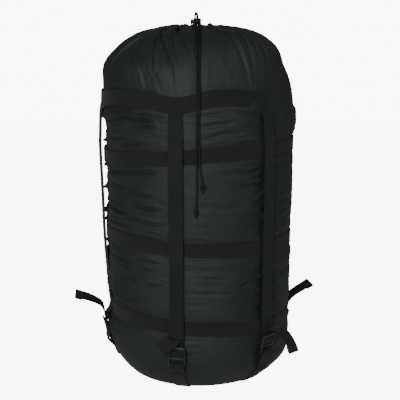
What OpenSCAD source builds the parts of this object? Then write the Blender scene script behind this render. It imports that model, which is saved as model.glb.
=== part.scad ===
// Compression sack: a round fabric sack with a cap and a base that six
// webbing straps pull together, closed at the neck by a drawcord and a cord
// lock. Millimetres. The origin is the centre of the base where the sack
// stands, +Z is up and -Y is the front.

/* [Fabric] */
// Outside diameter of the filled sack just above its rounded base
body_d = 336; // [326:1:346]
// Outside diameter of the filled sack at the seam of the cap
cap_d = 348; // [342:1:354]
// Height of the closed sack, up to the gathered neck
sack_h = 639; // [620:1:660]
// Height of the seam between the cap and the body panel
cap_seam_z = 503; // [498:1:508]
// Height of the seam between the base cup and the body panel
base_seam_z = 123; // [118:1:128]
// Radius of the flat part that the base cup stands on
base_flat_r = 104; // [96:1:110]
// Height at which the rounded edge of the base cup ends
base_round_z = 62; // [56:1:66]
// Thickness of the fabric with its seam allowances and creases
fabric_t = 2; // [1.5:0.1:2.5]
// Roundness of the cap's outline, 2 is an ellipse and more is squarer
cap_power = 2.7; // [2.2:0.1:3]
// Radius at which the cap's fabric meets the gathered neck
collar_neck_r = 38; // [34:1:42]
// Width of the strip sewn over the back seam
seam_w = 14; // [10:1:20]

/* [Webbing] */
// Width of the straps and bands
web_w = 25; // [24:0.5:26]
// Thickness of the webbing
web_t = 1.5; // [1.2:0.1:1.6]
// Clearance between pieces that slide past each other
slide_gap = 0.3; // [0.2:0.05:0.4]
// Height of the lower edge of the cap's band
top_band_z = 500; // [496:1:502]
// Height of the cap's band
top_band_h = 30; // [26:1:32]
// Height of the lower edge of the upper band
upper_band_z = 408; // [400:1:416]
// Height of the lower edge of the lower band
lower_band_z = 249; // [240:1:256]
// Height of the lower edge of the base band
base_band_z = 111; // [108:1:112]

/* [Straps] */
// Radius that the straps' shapes are measured from
strap_foot_r = 171.5; // [171.3:0.1:172]
// Radius of the round patch over the ends of the anchor straps
patch_r = 56; // [50:1:60]
// Thickness of a folded hem at the end of a strap
hem_t = 3.4; // [3:0.1:4]
// Length of a folded hem
hem_l = 12; // [10:1:16]

/* [Ladder locks] */
// Width over the side rails
lock_w = 31; // [30.5:0.1:32]
// Width of each side rail
rail_w = 2.5; // [2:0.1:2.5]
// Height of the pivot bar that the anchor strap loops around
pivot_z = 60; // [59:0.5:61]
// Distance of the pivot bar's centre out from the line that a lock is drawn on
pivot_u = 3; // [2.8:0.1:3.2]
// How far that line sits inside the radius of the straps
buckle_in = 2.4; // [2:0.1:2.6]
// Radius of the pivot bar
pivot_bar_r = 1.9; // [1.6:0.1:2]
// Running clearance of the anchor loop around the pivot bar
pivot_gap = 0.1; // [0.05:0.01:0.1]

/* [Neck and drawcord] */
// Radius of the hole that the gathered neck leaves
neck_hole_r = 15; // [13:0.5:16]
// Radius of the drawcord's ring inside the neck casing
cord_ring_r = 20; // [19:0.5:21]
// Diameter of the drawcord
cord_d = 3; // [2.6:0.1:3.2]
// Number of sides of the drawcord's tails
cord_sides = 8; // [8:1:12]
// Diameter of the knots at the drawcord's ends
knot_d = 9; // [8:0.5:10]

/* [Cord lock] */
// Sideways place of the cord lock
lock_x = -2.5; // [-4:0.5:0]
// Height of the cord lock's centre
lock_z = 645.5; // [645:0.5:647]
// Outside diameter of the cord lock's barrel
lock_d = 11; // [10.6:0.1:11.4]
// Diameter of the plunger
plunger_d = 8.4; // [8.2:0.1:8.6]
// Travel of the plunger
plunger_travel = 2.8; // [2.4:0.1:2.9]

/* [Label] */
// Width of the blank sewn label
label_w = 31; // [24:1:36]
// Height of the blank sewn label
label_h = 10; // [8:1:14]

/* [Hidden] */

fabric_colour = "#282c2d";
web_colour = "#1e2021";
plastic_colour = "#18191a";
metal_colour = "#8a8d90";
round_fn = 96;
bar_fn = 32;
curve_steps = 10;
big = 1000;

body_r = body_d / 2;
cap_r = cap_d / 2;
cap_h = sack_h - cap_seam_z;
floor_z = web_t;
neck_z = sack_h - 5;
lock_y = -cord_ring_r;
cord_r = cord_d / 2;
cord_pitch = cord_d + 0.4;
loop_r = pivot_bar_r + pivot_gap;

// Azimuth of each strap, measured from the front towards +X. They are sewn on
// by hand, so they are not quite evenly spaced.
strap_deg = [-12.4, 44, 106, 166, 228, 282];

// How far each strap's buckle sits above the lowest one, and how far it leans
// out at its top.
buckle_lift = [0, 10, 4, 0, 6, 12];
buckle_lean = [6, 10, 8, 6, 8, 9];

// Centre line of a load strand from the cap's band down to the base band, as
// [distance out, height]. Its last part leans with the buckle.
strap_route = [
    [4.2, top_band_z - slide_gap], [6.2, 450], [6.9, 420], [6, 340],
    [4, 260], [2.6, 160], [2.4, 130]
];
strap_ends = [[0.75, 100], [0.75, 95.3]];

// Centre line of the webbing through a ladder lock: behind the lip bar, down
// behind the grip bar, up its front and back out behind the lip bar.
wrap_route = [
    [0.75, 95], [0.75, 79.4], [1.4, 77.4], [3.2, 76.6], [5, 77.4],
    [5.7, 79.4], [5.7, 83.2], [4.6, 86], [3, 87.8], [2.6, 90], [2.6, 95.6]
];

// Outlines of a ladder lock's side rail and lip bar, [distance out, height].
rail_outline = [
    [1, 57.4], [4.8, 57.2], [5.6, 60], [5.8, 80], [7.6, 93.4],
    [5.6, 94], [3.6, 92], [1.9, 84], [0.8, 76], [0.5, 60]
];
lip_outline = [[4.4, 88.6], [6.9, 88.6], [7.6, 93.4], [5.8, 94], [3.7, 91.6]];

// Free ends of the six straps, [distance out, height], each as it has flopped.
// The first one also turns sideways, along its lying part.
tail_root = [2.6, 96.6];
tail_routes = [
    [tail_root, [2.8, 100], [5, 103.4], [9, 103.4], [11, 100], [10.8, 94]],
    [tail_root, [5, 102], [12, 106.4], [23, 107.6], [36, 104], [48, 94.6],
        [56, 84], [60.6, 75]],
    [tail_root, [3.7, 104], [6.6, 112], [14, 120], [26, 128], [40, 135], [54, 142]],
    [tail_root, [3.4, 104], [9, 111], [18, 114], [30, 111], [40, 100],
        [46, 86], [49, 74]],
    [tail_root, [3, 105], [7, 113], [15, 119], [28, 122], [44, 121], [60, 116]],
    [tail_root, [3.7, 104], [5.4, 112], [10, 121], [22, 129], [38, 136], [56, 142]]
];
lying_tail_w = 34;
lying_tail_z = 73;

// Routes of the drawcord's two tails, from the cord lock over the cap and
// down the front to their knots.
knot_a_at = [7.6, -177.5, 369];
knot_b_at = [-4, -177.5, 328];
cord_exit_z = 653;
cord_route_a = [
    [lock_x, lock_y - cord_pitch / 2, cord_exit_z],
    [-2.5, -22.6, 656.2], [-2.4, -25, 658.6], [-2.2, -28.2, 659.5], [-1.8, -31.6, 658.6],
    [-1.2, -36, 654.6], [-0.8, -40.6, 649.8], [-0.4, -46, 645.8], [-0.1, -53, 643.2],
    [0.2, -64, 641.8], [0.5, -80, 639.6], [0.8, -97, 635], [1, -113, 629],
    [1.1, -128, 621], [1.2, -141, 610.6], [1.3, -152, 598], [1.3, -161, 583],
    [1.3, -168, 566], [1.2, -173.4, 548], [1.2, -177.4, 532], [1.2, -178.4, 515],
    [1.2, -178.4, 498], [1.1, -178, 480], [1.1, -177.6, 460], [1.2, -177.4, 440],
    [1.7, -177.4, 420], [3.2, -177.4, 400], [5.2, -177.4, 386], knot_a_at
];
cord_route_b = [
    [lock_x, lock_y + cord_pitch / 2, cord_exit_z],
    [-2.9, -19.2, 656.6], [-4, -22, 659.6], [-5, -26, 660.8], [-5.6, -30.4, 659.8],
    [-6, -35, 656.4], [-6, -40, 651.4], [-5.8, -46, 646.8], [-5.2, -54, 643.4],
    [-4.4, -66, 641.6], [-3.8, -80, 639.6], [-3.3, -97, 635], [-2.9, -113, 629],
    [-2.7, -128, 621], [-2.5, -141, 610.6], [-2.4, -152, 598], [-2.3, -161, 583],
    [-2.3, -168, 566], [-2.2, -173.4, 548], [-2.2, -177.4, 532], [-2.2, -178.4, 515],
    [-2.3, -178.4, 498], [-2.4, -178, 480], [-2.6, -177.6, 460], [-2.7, -177.4, 440],
    [-2.7, -177.4, 420], [-2.5, -177.4, 400], [-2.4, -177.4, 380],
    [-2.8, -177.4, 360], [-3.4, -177.4, 344], knot_b_at
];

// --- Geometry helpers ---

function unit(v) = v / norm(v);
function turn_left(v) = [-v[1], v[0]];

// Direction of a path at point i.
function path_dir(path, i) =
    unit(path[min(i + 1, len(path) - 1)] - path[max(i - 1, 0)]);

// Outline of a strip of thickness t along a plane path.
function strip_outline(path, t) = concat(
    [for (i = [0 : len(path) - 1]) path[i] + turn_left(path_dir(path, i)) * t / 2],
    [for (i = [len(path) - 1 : -1 : 0]) path[i] - turn_left(path_dir(path, i)) * t / 2]
);

// Radius of the filled body panel at height z.
function fabric_r(z) =
    body_r + (cap_r - body_r) * (z - base_seam_z) / (cap_seam_z - base_seam_z);

// Where a point [distance out, height] drawn with an upright buckle comes to
// lie once buckle i is in its place.
function leaned(i, p) =
    let (
        a = buckle_lean[i - 1],
        d = p - [pivot_u, pivot_z]
    )
    [pivot_u - buckle_in, pivot_z + buckle_lift[i - 1]]
        + [d[0] * cos(a) + d[1] * sin(a), d[1] * cos(a) - d[0] * sin(a)];

// Height of the cap's surface over radius r, on a superellipse.
function cap_z(r, inset) = cap_seam_z + (cap_h - inset)
    * pow(1 - pow(r / (cap_r - inset), cap_power), 1 / cap_power);

// Outline points of the cap from its seam up to the neck.
function cap_points(inset) = concat(
    [[cap_r - inset, cap_seam_z]],
    [for (i = [1 : curve_steps])
        let (r = (cap_r - inset) * cos(80 * i / curve_steps)
            + collar_neck_r * (1 - cos(90 * i / curve_steps)) * i / curve_steps / 2)
        [r, cap_z(r, inset)]],
    [[collar_neck_r, neck_z - inset]]
);

// Outline points of the base cup's rounded edge, moved out by grow.
function cup_points(grow) = [for (i = [0 : curve_steps])
    let (a = 90 * i / curve_steps)
    [base_flat_r + (body_r - base_flat_r + grow) * sin(a),
        base_round_z - (base_round_z - floor_z + grow) * cos(a)]
];

// Turned shell between an outer outline and an inner one.
module shell(outer, inner) {
    rotate_extrude($fn = round_fn)
        polygon(concat(outer, [for (i = [len(inner) - 1 : -1 : 0]) inner[i]]));
}

// Band of webbing around the body panel.
module band(z, h) {
    low = fabric_r(z) + slide_gap;
    high = fabric_r(z + h) + slide_gap;
    color(web_colour)
        rotate_extrude($fn = round_fn)
            polygon([[low, z], [low + web_t, z], [high + web_t, z + h], [high, z + h]]);
}

// Places a shape drawn in [out, along the strap's width, up] at strap i.
module at_strap(i) {
    rotate([0, 0, strap_deg[i - 1] - 90])
        translate([strap_foot_r, 0, 0])
            children();
}

// Places a shape drawn with an upright buckle at buckle i, leaning with it.
module at_buckle(i) {
    at_strap(i)
        translate([pivot_u - buckle_in, 0, pivot_z + buckle_lift[i - 1]])
            rotate([0, buckle_lean[i - 1], 0])
                translate([-pivot_u, 0, -pivot_z])
                    children();
}

// Strip of webbing along a path of [distance out, height].
module webbing(path, t = web_t, w = web_w) {
    rotate([90, 0, 0])
        linear_extrude(height = w, center = true)
            polygon(strip_outline(path, t));
}

// Tube of n sides swept along a route, with its ends closed.
module tube(route, r, n) {
    last = len(route) - 1;
    dirs = [for (i = [0 : last]) path_dir(route, i)];
    sides = [for (d = dirs) unit(cross(d, [1, 0.02, 0.03]))];
    ups = [for (i = [0 : last]) cross(sides[i], dirs[i])];
    points = [for (i = [0 : last], k = [0 : n - 1])
        route[i] + r * (cos(360 * k / n) * sides[i] + sin(360 * k / n) * ups[i])];
    walls = [for (i = [0 : last - 1], k = [0 : n - 1])
        let (a = i * n + k, b = i * n + (k + 1) % n)
        [a, a + n, b + n, b]];
    ends = [[for (k = [0 : n - 1]) k], [for (k = [n - 1 : -1 : 0]) last * n + k]];
    polyhedron(points = points, faces = concat(walls, ends));
}

// --- Fabric ---

module base_cup() {
    inner = [for (p = cup_points(-fabric_t)) p];
    outer = cup_points(0);
    color(fabric_colour)
        shell(
            concat([[0, floor_z]], outer, [[fabric_r(base_seam_z), base_seam_z]]),
            concat([[0, floor_z + fabric_t]], inner,
                [[fabric_r(base_seam_z) - fabric_t, base_seam_z]])
        );
}

module body_panel() {
    low = fabric_r(base_seam_z);
    color(fabric_colour)
        shell(
            [[low, base_seam_z], [cap_r, cap_seam_z]],
            [[low - fabric_t, base_seam_z], [cap_r - fabric_t, cap_seam_z]]
        );
}

module back_seam() {
    gap = 0.05;
    foot = base_band_z + web_w + 1;
    head = top_band_z - 1;
    color(fabric_colour)
        intersection() {
            shell(
                [[fabric_r(foot) + slide_gap - gap, foot], [fabric_r(head) + slide_gap - gap, head]],
                [[fabric_r(foot), foot], [fabric_r(head), head]]
            );
            translate([-seam_w / 2, 0, 0])
                cube([seam_w, cap_r + fabric_t, sack_h]);
        }
}

module collar() {
    color(fabric_colour)
        shell(cap_points(0), cap_points(fabric_t));
}

// Gathered hem around the neck with a tunnel for the drawcord.
module neck_casing() {
    half_w = (collar_neck_r - neck_hole_r) / 2;
    half_h = 5;
    mid_r = neck_hole_r + half_w;
    mid_z = sack_h - half_h;
    slot_w = cord_d + 2 * slide_gap;
    color(fabric_colour)
        difference() {
            rotate_extrude($fn = round_fn)
                polygon([for (a = [0 : 15 : 345]) [mid_r + half_w * cos(a), mid_z + half_h * sin(a)]]);
            rotate_extrude($fn = round_fn)
                translate([cord_ring_r, mid_z])
                    circle(d = slot_w, $fn = bar_fn);
            translate([lock_x - slot_w / 2, lock_y - slot_w, mid_z])
                cube([slot_w, 2 * slot_w, 2 * half_h]);
        }
}

module base_patch() {
    color(web_colour)
        cylinder(r = patch_r, h = floor_z, $fn = round_fn);
}

// Blank sewn label, curved with the fabric.
module label_patch() {
    z = lower_band_z + web_w + 9.5;
    r = fabric_r(z) + slide_gap;
    color(web_colour)
        intersection() {
            translate([7 - label_w / 2, -cap_r - 5, z])
                cube([label_w, cap_r, label_h]);
            difference() {
                cylinder(r = r + 0.8, h = sack_h, $fn = round_fn);
                cylinder(r = r, h = sack_h, $fn = round_fn);
            }
        }
}

// --- Bands ---

module top_band() {
    low = cap_r + slide_gap;
    color(web_colour)
        rotate_extrude($fn = round_fn)
            polygon([
                [low, top_band_z], [low + web_t, top_band_z],
                [low + web_t, top_band_z + top_band_h], [low, top_band_z + top_band_h]
            ]);
}

module upper_band() {
    band(upper_band_z, web_w);
}

module lower_band() {
    band(lower_band_z, web_w);
}

module base_band() {
    band(base_band_z, web_w);
}

// --- Straps ---

module compression_strap(i) {
    color(web_colour)
        at_strap(i)
            webbing(concat(strap_route, [for (p = strap_ends) leaned(i, p)]));
}

module strap_wrap(i) {
    color(web_colour)
        at_buckle(i)
            webbing(wrap_route);
}

// Free end of a strap with its folded hem.
module strap_tail(i) {
    route = tail_routes[i - 1];
    end = route[len(route) - 1];
    dir = unit(end - route[len(route) - 2]);
    moved = leaned(i, tail_root) - tail_root;
    color(web_colour)
        at_strap(i)
            translate([moved[0], 0, moved[1]]) {
                webbing(route);
                if (i == 1)
                    translate([end[0] - web_t / 2, -lying_tail_w, lying_tail_z])
                        cube([web_t, lying_tail_w, web_w]);
                else
                    webbing([end - dir * hem_l, end], hem_t);
            }
}

// Webbing from under the base, up the side and around a pivot bar, with its
// end sewn down below the bar.
module anchor_strap(i) {
    under = [for (p = cup_points(web_t / 2)) p - [strap_foot_r, 0]];
    bar_u = pivot_u - buckle_in;
    bar_z = pivot_z + buckle_lift[i - 1];
    far_u = bar_u + loop_r + web_t / 2;
    near_u = bar_u - loop_r - web_t / 2;
    color(web_colour)
        at_strap(i) {
            webbing(concat([[patch_r - strap_foot_r + slide_gap, floor_z / 2]],
                [for (k = [0 : curve_steps - 2]) under[k]],
                [[-4.3, 46], [near_u, bar_z - 6], [near_u, bar_z]]));
            webbing([[far_u, bar_z], [far_u - 0.4, bar_z - 6], [-0.6, bar_z - 14],
                [-3.2, 42], [-7, 36.5], [-9.2, 33]]);
            rotate([90, 0, 0])
                linear_extrude(height = web_w, center = true)
                    difference() {
                        translate([bar_u, bar_z])
                            circle(r = loop_r + web_t, $fn = bar_fn);
                        translate([bar_u, bar_z])
                            circle(r = loop_r, $fn = bar_fn);
                        translate([bar_u - big / 2, bar_z - big])
                            square(big);
                    }
        }
}

// --- Hardware ---

// Moulded ladder lock: two side rails joined by a pivot bar, a middle bar, a
// grip bar and a raised lip bar.
module ladder_lock(i) {
    inner_w = lock_w - 2 * rail_w;
    bar_w = inner_w + rail_w;
    color(plastic_colour)
        at_buckle(i) {
            for (side = [-1, 1])
                translate([0, side * (lock_w - rail_w) / 2, 0])
                    rotate([90, 0, 0])
                        linear_extrude(height = rail_w, center = true)
                            polygon(rail_outline);
            translate([pivot_u, 0, pivot_z])
                rotate([90, 0, 0])
                    cylinder(r = pivot_bar_r, h = bar_w, center = true, $fn = bar_fn);
            translate([1.6, -bar_w / 2, 69.6])
                cube([3.2, bar_w, 4]);
            translate([1.8, -bar_w / 2, 79.4])
                cube([2.8, bar_w, 4.2]);
            rotate([90, 0, 0])
                linear_extrude(height = bar_w, center = true)
                    polygon(lip_outline);
        }
}

// --- Drawcord ---

// Ring of cord inside the neck casing, with the two ends that rise through
// the cord lock.
module drawcord_ring() {
    ring_z = sack_h - 5;
    color(web_colour) {
        rotate_extrude($fn = round_fn)
            translate([cord_ring_r, ring_z])
                circle(d = cord_d, $fn = bar_fn);
        for (side = [-1, 1])
            translate([lock_x, lock_y + side * cord_pitch / 2, ring_z])
                cylinder(d = cord_d, h = cord_exit_z - ring_z, $fn = bar_fn);
    }
}

module drawcord_tail_a() {
    color(web_colour)
        tube(cord_route_a, cord_r, cord_sides);
}

module drawcord_tail_b() {
    color(web_colour)
        tube(cord_route_b, cord_r, cord_sides);
}

// Overhand knot with the cut end below it.
module knot(at) {
    color(web_colour)
        translate(at) {
            sphere(d = knot_d, $fn = bar_fn);
            translate([0, 0, -knot_d])
                cylinder(d = cord_d, h = knot_d, $fn = bar_fn);
        }
}

module drawcord_knot_a() {
    knot(knot_a_at);
}

module drawcord_knot_b() {
    knot(knot_b_at);
}

// --- Cord lock ---

// Lays a shape drawn along X at the cord lock's centre.
module at_lock() {
    translate([lock_x, lock_y, lock_z])
        children();
}

// Cylinder along X from x = from to x = to.
module rod(from, to, d) {
    translate([from, 0, 0])
        rotate([0, 90, 0])
            cylinder(d = d, h = to - from, $fn = bar_fn);
}

module cord_lock_barrel() {
    slot_y = cord_pitch + cord_d + 2 * slide_gap;
    color(plastic_colour)
        at_lock()
            difference() {
                rod(-6.5, 7.5, lock_d);
                rod(-7, 6.3, plunger_d + 0.2);
                translate([-1.8, -slot_y / 2, -lock_d])
                    cube([6, slot_y, 2 * lock_d]);
            }
}

module cord_lock_plunger() {
    slot_y = cord_pitch + cord_d + 2 * slide_gap;
    slot_x = 3.6 + plunger_travel;
    color(plastic_colour)
        at_lock() {
            difference() {
                rod(-9.7, 2.9, plunger_d);
                translate([1.8 - slot_x, -slot_y / 2, -lock_d])
                    cube([slot_x, slot_y, 2 * lock_d]);
            }
            rod(-11.5, -9.6, lock_d - 0.8);
        }
}

// Coil spring that pushes the plunger out.
module cord_lock_spring() {
    wire = 0.5;
    turns = 2.5;
    from = 3.2;
    to = 6;
    coil_r = 3;
    steps = 30;
    color(metal_colour)
        at_lock()
            tube([for (s = [0 : steps])
                let (a = 360 * turns * s / steps)
                [from + (to - from) * s / steps, coil_r * cos(a), coil_r * sin(a)]],
                wire / 2, cord_sides);
}

base_cup();
body_panel();
back_seam();
collar();
neck_casing();
top_band();
upper_band();
lower_band();
base_band();
base_patch();
label_patch();
compression_strap(1);  // compression_strap_1
compression_strap(2);  // compression_strap_2
compression_strap(3);  // compression_strap_3
compression_strap(4);  // compression_strap_4
compression_strap(5);  // compression_strap_5
compression_strap(6);  // compression_strap_6
strap_wrap(1);  // strap_wrap_1
strap_wrap(2);  // strap_wrap_2
strap_wrap(3);  // strap_wrap_3
strap_wrap(4);  // strap_wrap_4
strap_wrap(5);  // strap_wrap_5
strap_wrap(6);  // strap_wrap_6
strap_tail(1);  // strap_tail_1
strap_tail(2);  // strap_tail_2
strap_tail(3);  // strap_tail_3
strap_tail(4);  // strap_tail_4
strap_tail(5);  // strap_tail_5
strap_tail(6);  // strap_tail_6
ladder_lock(1);  // ladder_lock_1
ladder_lock(2);  // ladder_lock_2
ladder_lock(3);  // ladder_lock_3
ladder_lock(4);  // ladder_lock_4
ladder_lock(5);  // ladder_lock_5
ladder_lock(6);  // ladder_lock_6
anchor_strap(1);  // anchor_strap_1
anchor_strap(2);  // anchor_strap_2
anchor_strap(3);  // anchor_strap_3
anchor_strap(4);  // anchor_strap_4
anchor_strap(5);  // anchor_strap_5
anchor_strap(6);  // anchor_strap_6
drawcord_ring();
drawcord_tail_a();
drawcord_tail_b();
drawcord_knot_a();
drawcord_knot_b();
cord_lock_barrel();
cord_lock_plunger();
cord_lock_spring();
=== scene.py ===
"""Looks of the compression sack: creased nylon, woven webbing, moulded ladder locks and a
drawcord with its cord lock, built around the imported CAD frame. Shapes are drawn in
millimetres and turned into metres as they become objects.

Angles around the sack are measured from its front, -Y, towards +X. Fabric is described by
its outline (distance from the axis, height) and by how far it is pushed out or in."""

import math

import bpy
import numpy as np
from mathutils import Matrix, Vector


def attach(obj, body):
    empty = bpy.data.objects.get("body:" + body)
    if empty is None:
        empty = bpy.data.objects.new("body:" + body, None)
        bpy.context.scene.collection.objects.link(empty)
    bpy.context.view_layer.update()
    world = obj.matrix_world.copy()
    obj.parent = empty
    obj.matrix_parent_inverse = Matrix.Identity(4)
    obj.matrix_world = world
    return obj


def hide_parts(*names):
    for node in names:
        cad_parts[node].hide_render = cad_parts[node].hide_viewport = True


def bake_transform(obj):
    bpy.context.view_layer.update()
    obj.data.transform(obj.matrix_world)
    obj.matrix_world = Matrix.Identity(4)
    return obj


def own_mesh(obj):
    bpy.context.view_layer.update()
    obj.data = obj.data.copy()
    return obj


MM = 0.001
STRAPS = 6
STRAP_ANGLES = [-12.4, 44, 106, 166, 228, 282]
# How far each ladder lock sits above the lowest one, how many degrees its top leans out, and
# how far in towards the fabric all of them move. PIVOT is a pivot bar's (out, height) before.
BUCKLE_LIFT = [0, 10, 4, 0, 6, 12]
BUCKLE_LEAN = [6, 10, 8, 6, 8, 9]
BUCKLE_IN = 2.4
PIVOT = (3.0, 60.0)
# Distances out along a strap count from here.
FOOT_R = 171.5
WEB_W = 25.0
WEB_T = 1.5
# Webbing inside a lock is drawn a little narrower, so that it clears the rails.
THREAD_W = 24.6
BASE_SEAM = 123.0
CAP_SEAM = 503.0
# Points around the fabric.
COLUMNS = 480
# The weave runs around the sack in arc lengths at this distance from the axis.
CLOTH_R = 172

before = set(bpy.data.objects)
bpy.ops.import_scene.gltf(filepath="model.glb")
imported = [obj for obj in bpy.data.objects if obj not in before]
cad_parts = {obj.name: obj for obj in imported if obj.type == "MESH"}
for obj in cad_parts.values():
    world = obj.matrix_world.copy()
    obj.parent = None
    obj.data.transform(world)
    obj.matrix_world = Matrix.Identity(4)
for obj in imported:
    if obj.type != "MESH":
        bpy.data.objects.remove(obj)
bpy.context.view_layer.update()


# --- Camera ---

def make_camera():
    """A camera level with the cap, looking a little downwards."""
    data = bpy.data.cameras.new("camera")
    data.lens = 76.6
    data.sensor_width = 36
    data.shift_x = 0.004
    camera = bpy.data.objects.new("camera", data)
    camera.location = (0, -1.567, 0.58)
    camera.rotation_euler = (math.radians(90 - 9.42), 0, 0)
    bpy.context.collection.objects.link(camera)
    bpy.context.scene.camera = camera


# --- Directions, paths and faces ---

UP = np.array([0, 0, 1.0])


def unit(v):
    v = np.asarray(v, float)
    return v / np.linalg.norm(v)


def outward(angle):
    """The direction away from the axis at an angle around the sack, in degrees."""
    turn = math.radians(angle)
    return np.array([math.sin(turn), -math.cos(turn), 0])


def sideways(angle):
    """The direction around the sack, towards larger angles."""
    turn = math.radians(angle)
    return np.array([math.cos(turn), math.sin(turn), 0])


def distances(points):
    """How far along its path each point lies."""
    steps = np.linalg.norm(np.diff(points, axis=0), axis=1)
    return np.concatenate([[0], np.cumsum(steps)])


def smooth_path(points, step):
    """Catmull-Rom curve through points, resampled to about step apart."""
    p = np.asarray(points, float)
    ends = np.vstack([2 * p[0] - p[1], p, 2 * p[-1] - p[-2]])
    fine = []
    for k in range(len(p) - 1):
        a, b, c, d = ends[k:k + 4]
        for t in np.linspace(0, 1, 24, endpoint=False):
            fine.append((2 * b + (c - a) * t + (2 * a - 5 * b + 4 * c - d) * t * t
                         + (3 * b - a - 3 * c + d) * t ** 3) / 2)
    fine = np.array(fine + [p[-1]])
    along = distances(fine)
    count = max(2, int(round(along[-1] / step)) + 1)
    at = np.linspace(0, along[-1], count)
    return np.stack([np.interp(at, along, fine[:, k]) for k in range(p.shape[1])], axis=1), at


def circle(centre, flat, high, sides):
    """Points around centre. flat and high are the half axes, as vectors."""
    turns = 2 * math.pi * np.arange(sides) / sides
    return [centre + math.cos(a) * flat + math.sin(a) * high for a in turns]


def loop_faces(rows, sides):
    """The faces of a closed loop of rows of points, with sides points around each row."""
    faces = []
    for i in range(rows):
        here, ahead = i * sides, (i + 1) % rows * sides
        for k in range(sides):
            beside = (k + 1) % sides
            faces.append((here + k, here + beside, ahead + beside, ahead + k))
    return faces


def sleeve_faces(rows, sides):
    """The same for rows that end: a sleeve that is open at both ends."""
    return loop_faces(rows, sides)[:-sides]


def capped_faces(rows, sides):
    """A sleeve that is closed at both ends."""
    last = (rows - 1) * sides
    caps = [tuple(range(sides - 1, -1, -1)), tuple(range(last, last + sides))]
    return sleeve_faces(rows, sides) + caps


def joined(parts):
    """Several pairs of verts and faces as one pair."""
    verts, faces = [], []
    for part_verts, part_faces in parts:
        base = len(verts)
        verts += list(part_verts)
        faces += [tuple(base + k for k in face) for face in part_faces]
    return verts, faces


def new_object(name, verts, faces, material, cloth=None):
    """A mesh object from points in millimetres. cloth holds each point's place in the weave."""
    mesh = bpy.data.meshes.new(name)
    mesh.from_pydata((np.asarray(verts, float) * MM).tolist(), [], faces)
    mesh.polygons.foreach_set("use_smooth", np.ones(len(mesh.polygons), bool))
    mesh.materials.append(material)
    if cloth is not None:
        attribute = mesh.attributes.new("cloth", "FLOAT_VECTOR", "POINT")
        attribute.data.foreach_set("vector", np.asarray(cloth, np.float32).ravel())
    mesh.update()
    piece = bpy.data.objects.new(name, mesh)
    bpy.context.collection.objects.link(piece)
    return piece


def tube(name, points, radius, material, sides=12):
    """A closed round tube along points, all in millimetres, with its braid's coordinates."""
    points = np.asarray(points, float)
    tangents = np.gradient(points, axis=0)
    tangents /= np.linalg.norm(tangents, axis=1)[:, None]
    side = unit(np.cross(tangents[0], [1, 0.02, 0.03]))
    verts, cloth = [], []
    for p, line, along in zip(points, tangents, distances(points)):
        side = unit(side - line * side.dot(line))
        verts += circle(p, radius * side, radius * np.cross(side, line), sides)
        cloth += circle(np.array([0, 0, along]), np.array([1, 0, 0]), np.array([0, 1, 0]), sides)
    return new_object(name, verts, capped_faces(len(points), sides), material, cloth)


# --- Noise and falloffs ---

def perlin(x, y, period, seed):
    """Smooth noise from -1 to 1, repeating every period cells along x."""
    rows = 256
    turns = np.random.default_rng(seed).uniform(0, 2 * math.pi, (period, rows))
    gx, gy = np.cos(turns), np.sin(turns)
    xi, yi = np.floor(x).astype(int), np.floor(y).astype(int)
    xf, yf = x - xi, y - yi
    fade_x = xf ** 3 * (xf * (xf * 6 - 15) + 10)
    fade_y = yf ** 3 * (yf * (yf * 6 - 15) + 10)

    def corner(i, j):
        a, b = (xi + i) % period, (yi + j) % rows
        return gx[a, b] * (xf - i) + gy[a, b] * (yf - j)

    low = corner(0, 0) * (1 - fade_x) + corner(1, 0) * fade_x
    high = corner(0, 1) * (1 - fade_x) + corner(1, 1) * fade_x
    return 1.5 * (low * (1 - fade_y) + high * fade_y)


def creases(n, width):
    """Turns noise into narrow valleys: 0 on open fabric, 1 along each crease."""
    return np.exp(-(n / width) ** 2)


def bump(x, centre, spread):
    """1 at centre, falling to 0 within about twice spread on either side."""
    return np.exp(-((x - centre) / spread) ** 2)


def ease(x, middle, width):
    """Goes smoothly from 0 below middle to 1 above it, or down if width is negative."""
    return 1 / (1 + np.exp((middle - x) / width))


def turn_between(a, b):
    """The signed angle from b to a, in degrees, between -180 and 180."""
    return (a - b + 180) % 360 - 180


def near(phi, angle, spread):
    """1 at an angle around the sack, falling to 0 away from it."""
    return bump(turn_between(phi, angle), 0, spread)


# --- The sack's shape ---

# The fabric's smooth outline from the middle of the base to the inside of the neck.
OUTLINE = [
    (0, 1.6), (60, 1.6), (100, 1.8), (116, 2.8), (128, 6), (139, 13), (150, 25), (160.5, 42),
    (166.4, 67), (168.4, 114), (169.6, 187), (170.6, 260), (171.8, 340), (173, 430),
    (173.6, 488), (172.6, 515), (169.6, 540), (163.4, 568), (148.6, 596), (127, 616),
    (96, 628.6), (66, 635.2), (52, 636.8), (42, 637), (33, 636), (25, 632), (19, 626),
    (17, 619), (18.4, 606), (22, 592)
]
BANDS = ["top_band", "upper_band", "lower_band", "base_band"]
# How far each band's inner face lies from the axis.
BAND_R = {"top_band": 173.4, "upper_band": 172.9, "lower_band": 170.4, "base_band": 168.4}
# For the bands below the cap's own: the height of the middle, and its rise to the right.
BAND_TILT = {"upper_band": (420.5, 11), "lower_band": (263, -6), "base_band": (123.5, -9.5)}


def band_centre(name, phi):
    """Height of the middle of a band at angle phi: each hangs a little askew."""
    across = np.sin(np.radians(phi))
    if name == "top_band":
        dip = 10.5 * near(phi, STRAP_ANGLES[0], 13)
        for angle in STRAP_ANGLES[2:]:
            dip = dip + 6 * near(phi, angle, 12)
        rise = 2.5 * near(phi, 14, 12) - 2.5 * near(phi, 38, 9)
        return 514.5 - dip + rise
    middle, tilt = BAND_TILT[name]
    wave = 1.2 * np.sin(np.radians(3 * phi + middle)) - 1.5 * near_strap(phi, 12)
    return middle + tilt * across + wave


def band_height(name):
    return 28.0 if name == "top_band" else WEB_W


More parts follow.
